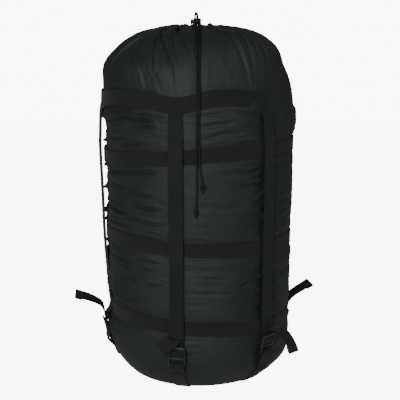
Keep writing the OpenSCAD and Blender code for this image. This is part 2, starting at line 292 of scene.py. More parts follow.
def near_strap(phi, spread):
    """1 at a strap, falling to 0 away from it."""
    return sum(near(phi, angle, spread) for angle in STRAP_ANGLES)


def in_band(phi, z, margin):
    """1 under a band, falling to 0 over margin beyond its edges."""
    most = np.zeros_like(z)
    for name in BANDS:
        beyond = np.abs(z - band_centre(name, phi)) - band_height(name) / 2
        most = np.maximum(most, np.clip(1 - beyond / margin, 0, 1))
    return most * most * (3 - 2 * most)


def outline_curve(step):
    """The outline's points about step apart, their distances along it and their normals."""
    curve, along = smooth_path(OUTLINE, step)
    slope = np.gradient(curve, axis=0)
    slope /= np.linalg.norm(slope, axis=1)[:, None]
    normal = np.stack([slope[:, 1], -slope[:, 0]], axis=1)
    return curve, along, normal


# Drag of the creases in each bay between straps: how far they slope down per degree.
BAY_DRAG = [0.2, 0.4, -0.45, 0.3, 0.35, -0.65]


def crease_shift(phi):
    """How much higher the creases run at angle phi, in millimetres."""
    knots = STRAP_ANGLES + [STRAP_ANGLES[0] + 360]
    values = np.concatenate([[0], np.cumsum([60 * d for d in BAY_DRAG])])
    turned = (phi - knots[0]) % 360 + knots[0]
    return np.interp(turned, knots, values)


# Long gathers of the cap in front: angle at the neck, angle at the end, the distances from
# the axis where each begins and ends, and its depth.
FRONT_GATHERS = [
    (-34, -3, 44, 163, 4.6), (-34, -14, 60, 158, 4.6), (-27, -11, 70, 150, 3.6),
    (-40, -13, 96, 172.5, 5.6), (-39, -27, 100, 167, 4.4), (-50, -43, 60, 165, 2.8),
    (-52, -64, 124, 171, -3.4), (-63, -72, 70, 172, 3.6), (-72, -78, 90, 170, 2.6),
    (38, 35.5, 70, 166, 4.2), (24, 30, 110, 170, 4.6), (46, 42, 60, 168, 3.0),
    (60, 55, 50, 171, 3.4), (13, 14, 40, 132, 2.4), (-8, -4, 40, 104, 2.4),
    (72, 68, 80, 172, 2.6), (5, 1, 60, 128, 1.8), (-46, -31, 150, 172.4, -2.4),
    (-39, -22, 154, 172.6, -2.6), (52, 50, 100, 170, 2.8), (20, 19, 60, 150, 1.8)
]


def gathers():
    """The gathers all round the cap: those in front, and more at random behind."""
    rng = np.random.default_rng(12)
    rows = list(FRONT_GATHERS)
    for angle in np.arange(84, 278, 8.5):
        start = angle + rng.uniform(-3, 3)
        rows.append((start, start + rng.uniform(-8, 8), rng.uniform(40, 80),
                     rng.uniform(140, 176), rng.uniform(2, 4)))
    return rows


# Puckers of fabric that touch the strap at the left edge: height, reach along it and depth.
LEFT_PUCKERS = [
    (483, 12, 5), (434, 3, 10.5), (415, 6.5, 10), (391, 4.5, 10.5), (350, 2.6, 11), (308, 4, 11)
]


# Folds of the two bays in front: the angle and height of each end, its depth and half width.
LEFT_BAY_FOLDS = [
    (-70, 473, -42, 483, 3.4, 4.5), (-44, 483, -27, 478, 3, 4), (-36, 491, -18, 485, 2.4, 3),
    (-62, 466, -40, 477, 1.5, 2.5), (-37, 470, -25, 468, 2.6, 3.5), (-61, 447, -49, 447, 2.6, 5),
    (-50, 437, -32, 438, 2.4, 4), (-66, 386, -24, 393, 2.8, 5), (-62, 366, -44, 362, 1.6, 6),
    (-44, 356, -27, 351, 2.2, 3.5), (-40, 334, -23, 328, 3, 4), (-66, 324, -44, 316, 3, 4),
    (-47, 311, -20, 303, 2.2, 3.5), (-64, 297, -44, 296, 2.2, 4), (-36, 291, -22, 285, 2.4, 3),
    (-38, 243, -24, 236, 3, 3), (-37, 227, -26, 221, 3, 3), (-60, 237, -44, 232, 1.8, 4),
    (-54, 224, -42, 219, 1.6, 3), (-34, 199, -23, 197, 2.6, 2.8), (-50, 205, -36, 203, 1.8, 5),
    (-47, 168, -32, 166, 1.6, 6), (-60, 152, -36, 148, 2, 4)
]
FRONT_BAY_FOLDS = [
    (-8, 489, 12, 490, 2.6, 2.6), (-8, 482, 8, 484, 1.6, 2.2), (2, 470, 19, 476, 2.2, 3.5),
    (3, 449, 14, 457, 2.4, 4), (12, 457, 27, 459, 2, 3.5), (15, 450, 31, 452, 1.6, 2.6),
    (26, 468, 41, 466, 2, 4), (20, 440, 41, 441, 3.2, 3.5), (9, 406, 22, 406, 1.6, 3),
    (13, 391, 24, 390, 1.8, 5), (24, 389, 41, 396, 3.4, 3.2), (29, 406, 41, 405, 2, 2.6),
    (31, 379, 42, 381, 2.6, 3), (24, 368, 42, 369, 3.2, 3.6), (25, 345, 34, 347, 2, 2.6),
    (32, 338, 42, 337, 2.4, 2.6), (0, 336, 26, 331, 1.4, 5), (27, 318, 42, 318, 2.6, 3),
    (26, 309, 36, 307, 2, 2.4), (28, 296, 42, 299, 3, 4), (-8, 243, 10, 242, 1.6, 2.6),
    (0, 228, 20, 224, 1.2, 4), (4, 214, 17, 210, 1.8, 2.6), (-6, 187, 22, 184, 1.1, 3),
    (24, 195, 33, 201, 3.2, 2.8), (32, 201, 42, 202, 2.4, 3), (27, 229, 35, 234, 2.2, 2.6),
    (-8, 166, 10, 164, 0.6, 4), (35, 150, 43, 152, 2.6, 3.5), (33, 176, 42, 178, 1.6, 4),
    (20, 494, 39, 487, 3.6, 3.2), (-8, 103, 4, 102, 0.6, 2.6), (19, 99, 28, 97, 1.6, 2.2),
    (30, 99, 42, 106, 1.6, 2.6)
]
# Each bay's folds, how much deeper they are made and how much narrower.
BAYS = [(LEFT_BAY_FOLDS, 1.5, 0.7), (FRONT_BAY_FOLDS, 1.1, 0.95)]


def front_folds(phi, z):
    """The folds that are listed one by one, in millimetres."""
    turn = phi / 360 % 1
    sway = 1.5 * perlin(turn * 40, z / 30, 40, 21)
    total = np.zeros_like(z)
    for folds, deeper, narrower in BAYS:
        for start, low, end, high, depth, width in folds:
            width *= narrower
            share = np.clip((phi - start) / (end - start), 0, 1)
            fade = np.clip(np.minimum(phi - start + 2.5, end + 2.5 - phi) / 6, 0, 1)
            aside = z - low - (high - low) * share + sway
            lips = bump(aside, 2.1 * width, width) + bump(aside, -2.1 * width, width)
            total += deeper * depth * fade * (0.45 * lips - bump(aside, 0, width))
    return total


# How deep the fabric is drawn in beside each strap.
STRAP_TUCK = [1.2, 4.6, 3.6, 3.6, 3.6, 4.6]


def tucked(phi, spread):
    """How far the straps draw the fabric in at angle phi, in millimetres."""
    pairs = zip(STRAP_ANGLES, STRAP_TUCK)
    return sum(depth * near(phi, angle, spread) for angle, depth in pairs)


def left_pull(phi, z):
    """How far the sack's lower left side is drawn in, in millimetres."""
    depth = 4.4 * ease(z, 175, -22) + 2.4 * bump(z, 42, 22) - 1.6 * bump(z, 88, 16)
    return depth * near(phi, STRAP_ANGLES[5], 42)


def left_edge(phi):
    """1 where the strap at the left edge stands away from the fabric."""
    return near(phi, STRAP_ANGLES[5] - 3, 8)


def bay_push(phi, z):
    """The filling swells the bays between straps and bands, and puckers of fabric come up
    against each strap."""
    turn = phi / 360 % 1
    level = z - crease_shift(phi)
    tuck = tucked(phi, 8) - 0.5 + 3.6 * near(phi, 41, 9) * (phi < 44)
    pucker = creases(perlin(turn * 10, level / 24, 10, 20), 0.13) * tucked(phi, 6) / 5
    push = (1.6 - tuck * (1 - 0.9 * pucker)) * (1 - 0.5 * in_band(phi, z, 16))
    touching = sum(depth * bump(z, height, reach) for height, reach, depth in LEFT_PUCKERS)
    push += left_edge(phi) * (6.0 * ease(z, 288, -5) + touching)
    hollow = near(phi, 276, 15) * ease(z, 470, -4)
    push -= hollow * (4.6 * ease(z, 296, 5) + 5.5 * bump(z, 240, 9))
    return push + 1.4 * perlin(turn * 7, z / 70, 7, 1)


def fold_push(phi, z):
    """Folds and creases of the body: listed one by one in front, at random behind."""
    turn = phi / 360 % 1
    level = z - crease_shift(phi)
    strap_side = near_strap(phi, 13)
    push = (0.7 + 0.9 * strap_side) * 1.5 * perlin(turn * 8, level / 15, 8, 3)

    # Sharp drag creases that run in towards the straps.
    patch = 0.5 + 0.5 * perlin(turn * 9, z / 60, 9, 2)
    amount = np.clip(0.7 * strap_side + 0.8 * patch - 0.15, 0, 1.2)
    warp = 5 * perlin(turn * 14, z / 34, 14, 4)
    first = creases(perlin(turn * 13, (level + warp) / 15, 13, 5), 0.15)
    second = creases(perlin(turn * 24, (level + warp) / 9.5, 24, 6), 0.15)
    push += amount * (0.9 * perlin(turn * 40, level / 8, 40, 7) - 2.7 * first - 1.2 * second)

    # Fabric bunched up just under the cap's band, most of it to the left.
    under = bump(z, band_centre("top_band", phi) - 28, 13)
    bunched = 0.35 + 0.65 * near(phi, -40, 42) + 0.3 * strap_side
    fold = perlin(turn * 8, (z - 0.5 * crease_shift(phi)) / 8.5, 8, 8)
    push += under * bunched * (1.6 + 3.2 * fold - 2.4 * creases(fold, 0.2))
    behind = 1 - 0.75 * ease(np.abs(phi + 13), 58, -3)
    return front_folds(phi, z) + behind * push


def cap_push(phi, curve_r, along):
    """Gathers of the cap, narrow at the neck and wider further down, and fine crumples."""
    turn = phi / 360 % 1
    push = np.zeros_like(curve_r)
    for start, end, inner_r, outer_r, depth in gathers():
        share = np.clip((curve_r - inner_r) / (outer_r - inner_r), 0, 1)
        line = start + (end - start) * share
        spread = 1.4 + 1.1 * share
        aside = np.radians(turn_between(phi, line)) * curve_r
        fade = np.clip((curve_r - inner_r + 14) / 16, 0, 1)
        fade *= np.clip((outer_r + 3 - curve_r) / (0.45 * (outer_r - inner_r)), 0, 1)
        lip = 0.5 * bump(aside, 2.3 * spread, 1.4 * spread)
        valley = np.exp(-(np.abs(aside) / spread) ** 1.3)
        push += depth * (1.4 + 0.6 * bump(curve_r, 40, 60)) * fade * (lip - valley)
    fine = perlin(turn * 64, along / 60 + 3 * turn, 64, 9)
    finer = perlin(turn * 110, along / 38, 110, 10)
    broad = perlin(turn * 11, along / 90, 11, 11)
    narrowing = np.clip(1.25 - curve_r / 170, 0.15, 1)
    return push + 1.5 * narrowing * fine + 0.7 * finer + 2.4 * broad * np.clip(curve_r / 110, 0, 1)


def fabric_push(phi, curve_r, z, along):
    """How far the fabric stands out from its outline, in millimetres, for arrays of angle
    phi, distance from the axis, height and distance along the outline."""
    body = ease(z, 40, 9) * ease(z, 506, -6)
    cap = np.where(curve_r < 24, 0, ease(z, 520, 7))
    push = body * (bay_push(phi, z) + fold_push(phi, z)) + cap * cap_push(phi, curve_r, along)
    push += 2.6 * near(phi, 88, 16) * bump(z, 478, 34)

    # Short puckers where the cap's fabric meets its band.
    edge = bump(z, band_centre("top_band", phi) + 18, 9)
    push += edge * 1.1 * perlin(phi / 360 % 1 * 78, z / 26, 78, 12)

    # Webbing holds the fabric down.
    held = in_band(phi, z, 9)
    push = push * (1 - held) + held * 0.4 * (np.minimum(push, 0) - 1)
    flat = body * near_strap(phi, 6) * (z < 500)
    most = 1.2 + 7.6 * left_edge(phi) * (z > 140)
    push = np.where(flat > 0.4, np.minimum(push, most), push)

    # The filling leans towards the left shoulder, and the base is fuller on the right.
    lean = np.sin(np.radians(phi))
    push -= lean * (7.4 * bump(z, 573, 24) + 2.4 * bump(z, 545, 28))
    push += 3.4 * np.maximum(lean, 0) * bump(z, 46, 20)
    push -= left_pull(phi, z)
    at_buckle = 5.6 * bump(z, 104, 13) + 6.2 * bump(z, 84, 12) + 4.6 * bump(z, 60, 14)
    return push + at_buckle * near(phi, STRAP_ANGLES[5], 11)


# Tips of the gathered hem that stand highest: angle, distance from the axis, height.
HEM_TIPS = [
    (-14, 31, 7), (12, 32, 6), (-52, 33, 4.6), (34, 33, 4), (70, 44, 2.6), (-84, 42, 2.6),
    (120, 34, 4), (165, 30, 4.5), (215, 34, 4)
]


def neck_ruffle(phi, curve_r, z):
    """How far the gathered hem around the neck stands up, in millimetres."""
    turn = phi / 360 % 1
    where = bump(curve_r, 38, 11) * (z > 600)
    wave = np.abs(perlin(turn * 20, curve_r / 60, 20, 14)) * 6 - 1.4
    inner = bump(curve_r, 22, 9) * (z > 600)
    rise = where * wave + inner * 1.5 * perlin(turn * 26, z / 30, 26, 15)
    for angle, distance, height in HEM_TIPS:
        aside = np.radians(turn_between(phi, angle)) * distance
        rise = rise + height * bump(aside, 0, 4.5) * bump(curve_r, distance, 6) * (z > 600)
    return rise


def settled(push, z):
    """Keeps the fabric's push off the floor: it fades out where the sack rests."""
    return push * np.where(z < 60, np.clip((z - 2.5) / 12, 0, 1), 1)


def build_fabric(materials):
    """The whole fabric as one surface, then cut at its two seams."""
    curve, along, normal = outline_curve(1.8)
    angles = -180 + 360 * np.arange(COLUMNS) / COLUMNS
    phi, row = np.meshgrid(angles, np.arange(len(curve)))
    r, z = curve[row, 0], curve[row, 1]
    push = settled(fabric_push(phi, r, z, along[row]), z)
    cord_lane = bump(np.sin(np.radians(phi)) * r, 0, 9) * (z > 510) * (np.abs(phi) < 90)
    push = push - cord_lane * np.clip(push + 0.6, 0, None)
    out_r = r + push * normal[row, 0]
    out_z = z + push * normal[row, 1] + neck_ruffle(phi, r, z)
    out_r = np.maximum(out_r, 0.0)
    x = out_r * np.sin(np.radians(phi))
    y = -out_r * np.cos(np.radians(phi))
    cloth = np.stack([np.radians(phi) * CLOTH_R, along[row], np.zeros_like(r)], axis=-1)
    points = np.stack([x, y, out_z], axis=-1)
    low = int(np.argmax(curve[:, 1] > BASE_SEAM))
    high = int(np.argmax(curve[:, 1] > CAP_SEAM))
    cuts = {
        "base_cup_fabric": (1, low), "body_panel_fabric": (low, high),
        "cap_fabric": (high, len(curve) - 1)
    }
    pieces = {}
    for name, (first, last) in cuts.items():
        verts = points[first:last + 1].reshape(-1, 3)
        weave = cloth[first:last + 1].reshape(-1, 3)
        faces = sleeve_faces(last - first + 1, COLUMNS)
        if name == "base_cup_fabric":
            verts = np.vstack([verts, [0, 0, OUTLINE[0][1]]])
            weave = np.vstack([weave, [0, 0, 0]])
            centre = len(verts) - 1
            faces += [(centre, (k + 1) % COLUMNS, k) for k in range(COLUMNS)]
        piece = new_object(name, verts, faces, materials["fabric"], weave)
        thicken(piece, 0.9)
        pieces[name] = piece
    return pieces


def thicken(piece, thickness):
    """Gives a sheet its thickness in millimetres, inwards from the side that is seen."""
    solid = piece.modifiers.new("thickness", "SOLIDIFY")
    solid.thickness = thickness * MM
    solid.offset = -1
    apply_modifiers(piece)


def apply_modifiers(piece):
    """Puts the modified mesh in place of the piece's own."""
    bpy.context.view_layer.update()
    graph = bpy.context.evaluated_depsgraph_get()
    mesh = bpy.data.meshes.new_from_object(piece.evaluated_get(graph))
    old = piece.data
    piece.modifiers.clear()
    piece.data = mesh
    mesh.name = piece.name
    bpy.data.meshes.remove(old)


# --- Webbing ---

def strip_section(stops, swell):
    """The outline of a strip's section: its front from edge to edge, then its back."""
    front = list(zip(stops, swell))
    return front + [(stop, -high) for stop, high in reversed(front)]


WEB_SECTION = strip_section([-1, -0.97, -0.9, -0.6, -0.3, 0, 0.3, 0.6, 0.9, 0.97, 1],
                            [0.45, 0.85, 1, 1, 1, 1, 1, 1, 1, 0.85, 0.45])
BAND_SECTION = strip_section([-1, -0.96, -0.88, -0.5, 0, 0.5, 0.88, 0.96, 1],
                             [0.4, 0.85, 1, 1, 1, 1, 1, 0.85, 0.4])


def webbing(name, path, widths, material, width=WEB_W, thickness=WEB_T, step=3.0):
    """A woven strip along path, in millimetres. widths gives the direction across the strip
    at each point of path."""
    both, along = smooth_path(np.hstack([np.asarray(path, float), np.asarray(widths, float)]), step)
    centre = both[:, :3]
    across = both[:, 3:] / np.linalg.norm(both[:, 3:], axis=1)[:, None]
    tangent = np.gradient(centre, axis=0)
    tangent /= np.linalg.norm(tangent, axis=1)[:, None]
    across -= tangent * np.sum(across * tangent, axis=1)[:, None]
    across /= np.linalg.norm(across, axis=1)[:, None]
    face = np.cross(tangent, across)
    verts, cloth = [], []
    for i in range(len(centre)):
        for s, w in WEB_SECTION:
            verts.append(centre[i] + across[i] * s * width / 2 + face[i] * w * thickness / 2)
            cloth.append((s * width / 2, along[i], w))
    return new_object(name, verts, capped_faces(len(centre), len(WEB_SECTION)), material, cloth)


def band_points(name, angle, section):
    """Points of a band at an angle. section holds (share, lift) pairs: share is -1 at the
    band's lower edge and 1 at its upper edge, and lift counts from the webbing's middle."""
    spot = np.array(angle)
    middle = float(band_centre(name, spot))
    wave = 0.5 * float(perlin(np.array([angle / 360 % 1 * 24]), np.array([middle / 300]), 24, 30)[0])
    r = BAND_R[name] + WEB_T / 2 + wave - float(left_pull(spot, middle))
    if name == "top_band":
        r -= 3.6 * math.sin(math.radians(angle))
    else:
        r -= 1.2 * float(near_strap(spot, 8))
    points = []
    for share, lift in section:
        slope = -0.65 * (share + 1) if name == "top_band" else 0.2 * share
        height = middle + share * band_height(name) / 2
        points.append(outward(angle) * (r + slope + lift) + np.array([0, 0, height]))
    return points


def band(name, materials):
    """A band of webbing sewn around the sack."""
    steps = 360
    section = [(share, swell * WEB_T / 2) for share, swell in BAND_SECTION]
    verts, cloth = [], []
    for angle in -180 + 360 * np.arange(steps) / steps:
        verts += band_points(name, angle, section)
        cloth += [(share * band_height(name) / 2, math.radians(angle) * CLOTH_R, swell)
                  for share, swell in BAND_SECTION]
    faces = [(a, d, c, b) for a, b, c, d in loop_faces(steps, len(section))]
    piece = new_object(name + "_webbing", verts, faces, materials["webbing"], cloth)
    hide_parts(name)
    return piece


def local_frame(i):
    """Outward, sideways and up directions of strap i."""
    return outward(STRAP_ANGLES[i]), sideways(STRAP_ANGLES[i]), UP


def placed(i, points):
    """Points of [out, sideways, up] at strap i, moved into the sack's own millimetres."""
    out, side, up = local_frame(i)
    return [out * (FOOT_R + u) + side * s + up * h for u, s, h in points]


def leaned(i, u, h):
    """Where a point drawn with an upright buckle comes to lie once buckle i is in place."""
    a = math.radians(BUCKLE_LEAN[i])
    du, dh = u - PIVOT[0], h - PIVOT[1]
    return (PIVOT[0] - BUCKLE_IN + du * math.cos(a) + dh * math.sin(a),
            PIVOT[1] + BUCKLE_LIFT[i] + dh * math.cos(a) - du * math.sin(a))


def turned(i, degrees, tangent):
    """The direction across strap i after it twists by degrees about its own line."""
    out, side, up = local_frame(i)
    line = unit(out * tangent[0] + side * tangent[1] + up * tangent[2])
    return np.array(Matrix.Rotation(math.radians(degrees), 3, Vector(line)) @ Vector(side))


# A load strand: distance out, height, and how much of the cap's lean to one side it shares.
STRAP_ROUTE = [
    (-0.6, 506, 1), (1.2, 499, 1), (4.4, 484, 0.5), (6.4, 450, 0), (7.1, 420, 0), (6.2, 340, 0),
    (4, 260, 0), (2.6, 160, 0), (2.4, 130, 0)
]
STRAP_FOOT = [(0.75, 100), (0.75, 95.6)]
# How far each load strand stands out further, shifts sideways at its top, and turns.
STRAP_OUT = [0, 0, 0, 0, 0, 2.2]
STRAP_ASIDE = [0, -5, 0, 0, 0, -2]
STRAP_TURN = [0, 0, 0, 0, 0, 5.5]
# The turn around the lock's middle bar, as (out, height) with the lock upright.
THREAD_ROUTE = [
    (0.75, 80.6), (0.75, 79.6), (1.3, 77.5), (3.2, 76.5), (5.1, 77.5), (5.75, 79.6), (5.7, 83),
    (4.7, 86), (3.1, 88), (2.6, 90.4), (2.6, 97)
]
# The stretch between a load strand's foot and its buckle, which bends as the buckle tips out.
FEED_ROUTE = [(0.75, 97), (0.75, 92), (0.75, 87), (0.75, 82), (0.75, 80.4)]
# The loose ends, as (out, sideways, height), and how far each twists along its length.
TAIL_ROUTES = [
    [(2.6, 0, 95.6), (3.2, 0, 100.4), (5.6, -1.2, 104), (8.6, -4, 105), (10.6, -8.5, 103),
     (11.2, -13.5, 99.2), (10.8, -19, 95), (9.8, -25, 90.6), (9, -29, 87.8)],
    [(2.6, 0, 95.6), (5, 0, 102), (12, 0, 106.4), (23, 0, 107.6), (36, 0, 104), (48, 0, 94.6),
     (56, 0, 84), (60.6, 0, 75)],
    [(2.6, 0, 95.6), (3.7, 0, 104), (6.6, 0, 112), (14, 0, 120), (26, 0, 128), (40, 0, 135),
     (54, 0, 142)],
    [(2.6, 0, 95.6), (3.4, 0, 104), (9, 0, 111), (18, 0, 114), (30, 0, 111), (40, 0, 100),
     (46, 0, 86), (49, 0, 74)],
    [(2.6, 0, 95.6), (3, 0, 105), (7, 0, 113), (15, 0, 119), (28, 0, 122), (44, 0, 121),
     (60, 0, 116)],
    [(2.6, 0, 95.6), (3.7, 0, 104), (5.4, 0, 112), (10, 0, 121), (22, 0, 129), (38, 0, 136),
     (56, 0, 142)]
]
TAIL_TWIST = [0, 0, 20, 6, 12, -26]
# Directions across the first tail, which lies over to one side, as (out, sideways, up).
LYING_ACROSS = [
    (0, 1, 0), (0, 1, 0), (0, 1, -0.1), (0.1, 0.95, -0.3), (0, 0.85, -0.52), (0, 0.62, -0.78),
    (0, 0.58, -0.81), (0, 0.58, -0.81), (0, 0.58, -0.81)
]
# How far a loose end is folded back on itself.
HEM = 13.0


def strap_run(i, materials):
    """The load strand from under the cap's band down to its buckle."""
    lean = -3.2 * math.sin(math.radians(STRAP_ANGLES[i]))
    points = []
    for u, h, leaning in STRAP_ROUTE:
        u += leaning * lean + STRAP_OUT[i] * bump(h, 440, 60)
        # A taut strap comes in twice as far as the fabric under it.
        u -= 2.0 * float(left_pull(np.array(STRAP_ANGLES[i]), h))
        points.append((u, STRAP_ASIDE[i] * (h - 100) / 400, h))
    feet = [leaned(i, u, h) for u, h in STRAP_FOOT]
    points += [(u, 0, h) for u, h in feet]
    path = placed(i, points)
    side = Vector(local_frame(i)[1])
    widths = []
    for _, _, h in points:
        turn = math.radians(STRAP_TURN[i] * min(1, (h - 90) / 60))
        widths.append(np.array(Matrix.Rotation(turn, 3, "Z") @ side))
    piece = webbing(f"strap_run_{i + 1}", path, widths, materials["webbing"], step=4.0)
    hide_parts(f"compression_strap_{i + 1}")
    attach(piece, "base")
    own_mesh(piece)


def strap_thread(i, materials):
    """The webbing through the ladder lock, from the load strand to the loose end."""
    side = local_frame(i)[1]
    for name, route in (("feed", FEED_ROUTE), ("thread", THREAD_ROUTE)):
        path = placed(i, [(u, 0, h) for u, h in (leaned(i, *point) for point in route)])
        piece = webbing(f"strap_{name}_{i + 1}", path, [side] * len(path), materials["webbing"],
                        width=THREAD_W, thickness=1.4, step=1.2)
        if name == "feed":
            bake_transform(piece)
        else:
            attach(piece, f"buckle_{i + 1}")
            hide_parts(f"strap_wrap_{i + 1}")


def strap_end(i, materials):
    """The loose end of a strap, with its end folded over and sewn down."""
    root = TAIL_ROUTES[i][0]
    moved = leaned(i, root[0], root[2])
    route = np.array(TAIL_ROUTES[i], float) + (moved[0] - root[0], 0, moved[1] - root[2])
    lines = np.gradient(route, axis=0)
    share = np.linspace(0, 1, len(route))
    path = placed(i, route)
    if i == 0:
        out, side, up = local_frame(i)
        widths = [out * u + side * s + up * h for u, s, h in LYING_ACROSS]
    else:
        widths = [turned(i, TAIL_TWIST[i] * s, line) for s, line in zip(share, lines)]
    piece = webbing(f"strap_end_{i + 1}", path, widths, materials["webbing"], width=THREAD_W)
    tip, across = path[-1], widths[-1]
    last = unit(tip - path[-2])
    face = np.cross(last, across)
    folded = [(0.2, 0), (-0.9, 0.8), (0.2, 1.6), (HEM / 2, 1.7), (HEM, 1.6)]
    back = [tip - last * u - face * v for u, v in folded]
    hem = webbing(f"strap_hem_{i + 1}", back, [across] * len(back), materials["webbing"],
                  width=THREAD_W, step=1.2)
    rows = []
    for offset in (2.5, HEM - 2.5):
        for s in STITCHES_ACROSS:
            at = tip - last * offset + across * s
            rows.append((at - face * 2.5, across, face))
            rows.append((at + face * 0.8, across, face))
    thread = stitches(f"hem_stitches_{i + 1}", rows, materials["thread"])
    for part in (piece, hem, thread):
        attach(part, f"tail_{i + 1}")
    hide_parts(f"strap_tail_{i + 1}")


# Where the stitches lie across a strap.
STITCHES_ACROSS = np.arange(-10.5, 10.6, 3.0)
# A stitch's outline: shares of its length along it, and of the thread's radius there.
STITCH_SHAPE = [(-0.5, 0.35), (-0.25, 1), (0.25, 1), (0.5, 0.35)]


def stitches(name, rows, material, length=2.2, radius=0.28):
    """Short stitches: rows of (place, direction along the stitch, outward direction)."""
    sides = 5
    parts = []
    for place, line, out in rows:
        line, out = unit(line), unit(out)
        flat = np.cross(line, out)
        verts = []
        for t, share in STITCH_SHAPE:
            thick = radius * share
            verts += circle(place + line * t * length, thick * flat, thick * out, sides)
        parts.append((verts, capped_faces(len(STITCH_SHAPE), sides)))
    return new_object(name, *joined(parts), material)


def anchor_route(i, grow):
    """The base's fabric along strap i, moved out by grow, from the floor upwards."""
    curve, along, normal = outline_curve(2.1)
    edge = np.flatnonzero((curve[:, 0] > 62) & (curve[:, 1] < 47))[::4]
    phi = np.full(len(edge), float(STRAP_ANGLES[i]))
    r, z = curve[edge, 0], curve[edge, 1]
    push = settled(fabric_push(phi, r, z, along[edge]), z) + grow
    out_r, out_z = r + push * normal[edge, 0], z + push * normal[edge, 1]
    return [(a - FOOT_R, 0, b) for a, b in zip(out_r, out_z)]


def anchor_strap(i, materials):
    """The short strap under the base that loops around a ladder lock's pivot bar."""
    bar, top = leaned(i, *PIVOT)
    out, side, _ = local_frame(i)
    loop_r = 2.75
    inner = [(-115.2, 0, 0.8)] + anchor_route(i, 0.85)
    edge_u, _, edge_h = inner[-1]
    inner += [(bar - 3.4, 0, top - 7), (bar - loop_r, 0, top)]
    loop = [(bar - loop_r * math.cos(a), 0, top + loop_r * math.sin(a))
            for a in np.radians([30, 60, 90, 120, 150])]
    outer = [(bar + loop_r, 0, top), (bar + 1.6, 0, top - 7)]
    outer += [(edge_u + u, 0, edge_h + h) for u, h in ((3.2, 5), (0.4, -2), (-1.6, -7), (-4.6, -12))]
    path = placed(i, inner + loop + outer)
    piece = webbing(f"anchor_webbing_{i + 1}", path, [side] * len(path), materials["webbing"],
                    width=THREAD_W, step=1.6)
    rows = []
    for u, h in ((edge_u - 0.4, edge_h - 8), (edge_u + 1.3, edge_h - 3)):
        rows += [(place, side, out) for place in placed(i, [(u, s, h) for s in STITCHES_ACROSS])]
    thread = stitches(f"anchor_stitches_{i + 1}", rows, materials["thread"])
    for part in (piece, thread):
        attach(part, "base")
    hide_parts(f"anchor_strap_{i + 1}")


# --- Hardware ---

def soft_square(sides):
    """Cosines and sines around a circle, drawn out towards a square's corners."""
    turns = 2 * math.pi * (np.arange(sides) + 0.5) / sides
    cosines, sines = np.cos(turns), np.sin(turns)
    drawn = [np.sign(share) * np.abs(share) ** 0.6 for share in (cosines, sines)]
    return list(zip(*drawn))


MOULDED = soft_square(10)
# A rail of the ladder lock: distance out, height, half depth, share of its place sideways.
LOCK_RAIL = [
    (2.9, 57.6, 1.7, 1), (3, 60, 2.3, 1), (3.1, 70, 2.5, 1), (3.5, 80, 2.3, 1), (4.8, 88, 1.8, 1),
    (5.9, 92.6, 1.2, 0.97)
]
# Its pivot bar, middle bar and top bar: distance out, height, half depth, half height.
LOCK_BARS = [(3, 60, 1.8, 1.8), (3.2, 71.6, 1.6, 2.0), (3.2, 81.4, 1.35, 1.9)]


def lock_rail(side):
    """Verts and faces of the rail that stands side millimetres from the middle."""
    verts = [(u + half * c, side * share + 1.35 * s, h)
             for u, h, half, share in LOCK_RAIL for c, s in MOULDED]
    return verts, capped_faces(len(LOCK_RAIL), len(MOULDED))


def rounded_bar(points, half_w, half_h):
    """Verts and faces of a bar of rounded section along points, in millimetres."""
    points = np.array(points, float)
    verts = []
    for i, p in enumerate(points):
        line = unit(points[min(i + 1, len(points) - 1)] - points[max(i - 1, 0)])
        flat = unit(np.cross(line, UP))
        high = np.cross(flat, line)
        verts += [p + flat * half_w * c + high * half_h * s for c, s in MOULDED]
    return verts, capped_faces(len(points), len(MOULDED))


def ladder_lock_mesh(material):
    """One moulded ladder lock, in [out, sideways, up] with its rails along up."""
    parts = [lock_rail(-14.1), lock_rail(14.1)]
    across = np.linspace(-14.2, 14.2, 15)
    arch = np.cos(across / 10)
    for u, h, half_w, half_h in LOCK_BARS:
        parts.append(rounded_bar([(u, s, h) for s in across], half_w, half_h))
    lip = [(5.9 + 0.5 * a, s, 91 + 2.4 * a) for s, a in zip(across, arch)]
    ridge = [(7.2, 0.7 * s, 89.4 + 1.9 * a) for s, a in zip(across, arch)]
    parts += [rounded_bar(lip, 1.5, 2.1), rounded_bar(ridge, 0.6, 0.6)]
    piece = new_object("ladder_lock_shape", *joined(parts), material)
    remesh = piece.modifiers.new("blend", "REMESH")
    remesh.mode = "VOXEL"
    remesh.voxel_size = 0.45 * MM
    soften = piece.modifiers.new("soften", "SMOOTH")
    soften.factor = 0.5
    soften.iterations = 6
    apply_modifiers(piece)
    mesh = piece.data
    mesh.polygons.foreach_set("use_smooth", np.ones(len(mesh.polygons), bool))
    bpy.data.objects.remove(piece)
    return mesh


def place_ladder_locks(materials):
    """The same moulding at each strap, on its own buckle's body."""
    shape = ladder_lock_mesh(materials["plastic"])
    for i in range(STRAPS):
        out, side, up = local_frame(i)
        piece = bpy.data.objects.new(f"ladder_lock_moulding_{i + 1}", shape)
        bpy.context.collection.objects.link(piece)
        bar, top = leaned(i, *PIVOT)
        origin = (out * (FOOT_R + bar) + up * top) * MM
        turn = Matrix((out, side, up)).transposed().to_4x4()
        lean = Matrix.Rotation(math.radians(BUCKLE_LEAN[i]), 4, "Y")
        drawn = Matrix.Translation(Vector((-PIVOT[0] * MM, 0, -PIVOT[1] * MM)))
        piece.matrix_world = Matrix.Translation(Vector(origin)) @ turn @ lean @ drawn
        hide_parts(f"ladder_lock_{i + 1}")
        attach(piece, f"buckle_{i + 1}")


def lathe(outline, steps=48):
    """Verts and faces of an outline of (along x, radius) turned about the X axis."""
    verts = []
    for x, r in outline:
        verts += circle(np.array([x, 0, 0]), np.array([0, r, 0]), np.array([0, 0, r]), steps)
    return verts, capped_faces(len(outline), steps)


